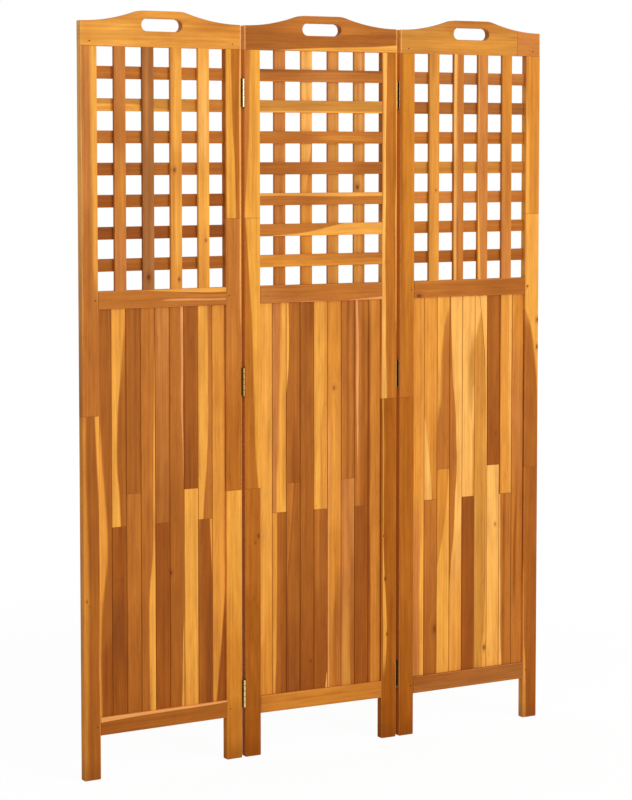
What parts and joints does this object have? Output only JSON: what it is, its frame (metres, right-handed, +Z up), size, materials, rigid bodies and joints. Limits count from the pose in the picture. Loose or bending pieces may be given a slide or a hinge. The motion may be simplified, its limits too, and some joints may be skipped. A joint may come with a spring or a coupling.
{
  "type": "folding screen",
  "caption": "Oiled hardwood folding room screen: panels with open slat lattice over tongue-and-groove boards, crested top rails with hand slots, joined by brass butt hinges.",
  "frame": {"origin": "on the floor under the centre of the middle panel, which is within a few millimetres of the centre of the box round the whole screen at rest", "axes": "+Z up, +X along the middle panel to the viewer's right, +Y away from the viewer"},
  "size_m": [1.2108, 0.0548, 1.7],
  "materials": {
    "frame_wood": "oiled, satin",
    "board_wood": "oiled, satin",
    "slat_wood": "oiled, satin",
    "brass_hinge": "plated, polished",
    "brass_pin": "plated, polished",
    "brass_screw": "plated",
    "steel_brad": "plain"
  },
  "bodies": {
    "middle_panel": {"middle_panel_left_stile": "frame_wood", "middle_panel_right_stile": "frame_wood", "middle_panel_top_rail": "frame_wood", "middle_panel_middle_rail": "frame_wood", "middle_panel_bottom_rail": "frame_wood", "middle_panel_board_1": "board_wood", "middle_panel_board_2": "board_wood", "middle_panel_board_3": "board_wood", "middle_panel_board_4": "board_wood", "middle_panel_board_5": "board_wood", "middle_panel_board_6": "board_wood", "middle_panel_board_7": "board_wood", "middle_panel_board_8": "board_wood", "middle_panel_board_9": "board_wood", "middle_panel_upright_slats": "slat_wood", "middle_panel_crossbar_slats": "slat_wood", "middle_panel_joint_brads": "steel_brad", "middle_panel_hinge_screws": "brass_screw", "middle_panel_left_hinge_leaves": "brass_hinge", "middle_panel_right_hinge_leaves": "brass_hinge", "left_hinge_pins": "brass_pin", "right_hinge_pins": "brass_pin"},
    "left_panel": {"left_panel_left_stile": "frame_wood", "left_panel_right_stile": "frame_wood", "left_panel_top_rail": "frame_wood", "left_panel_middle_rail": "frame_wood", "left_panel_bottom_rail": "frame_wood", "left_panel_board_1": "board_wood", "left_panel_board_2": "board_wood", "left_panel_board_3": "board_wood", "left_panel_board_4": "board_wood", "left_panel_board_5": "board_wood", "left_panel_board_6": "board_wood", "left_panel_board_7": "board_wood", "left_panel_board_8": "board_wood", "left_panel_board_9": "board_wood", "left_panel_upright_slats": "slat_wood", "left_panel_crossbar_slats": "slat_wood", "left_panel_joint_brads": "steel_brad", "left_panel_hinge_screws": "brass_screw", "left_panel_right_hinge_leaves": "brass_hinge"},
    "right_panel": {"right_panel_left_stile": "frame_wood", "right_panel_right_stile": "frame_wood", "right_panel_top_rail": "frame_wood", "right_panel_middle_rail": "frame_wood", "right_panel_bottom_rail": "frame_wood", "right_panel_board_1": "board_wood", "right_panel_board_2": "board_wood", "right_panel_board_3": "board_wood", "right_panel_board_4": "board_wood", "right_panel_board_5": "board_wood", "right_panel_board_6": "board_wood", "right_panel_board_7": "board_wood", "right_panel_board_8": "board_wood", "right_panel_board_9": "board_wood", "right_panel_upright_slats": "slat_wood", "right_panel_crossbar_slats": "slat_wood", "right_panel_joint_brads": "steel_brad", "right_panel_hinge_screws": "brass_screw", "right_panel_left_hinge_leaves": "brass_hinge"}
  },
  "joints": [
    {"name": "left_fold", "type": "hinge", "parent": "middle_panel", "child": "left_panel", "pos_m": [-0.203, -0.011, 0.868], "axis": [0, 0, 1], "range_deg": [-17, 177]},
    {"name": "right_fold", "type": "hinge", "parent": "middle_panel", "child": "right_panel", "pos_m": [0.203, 0.011, 0.868], "axis": [0, 0, 1], "range_deg": [-16, 178]}
  ]
}
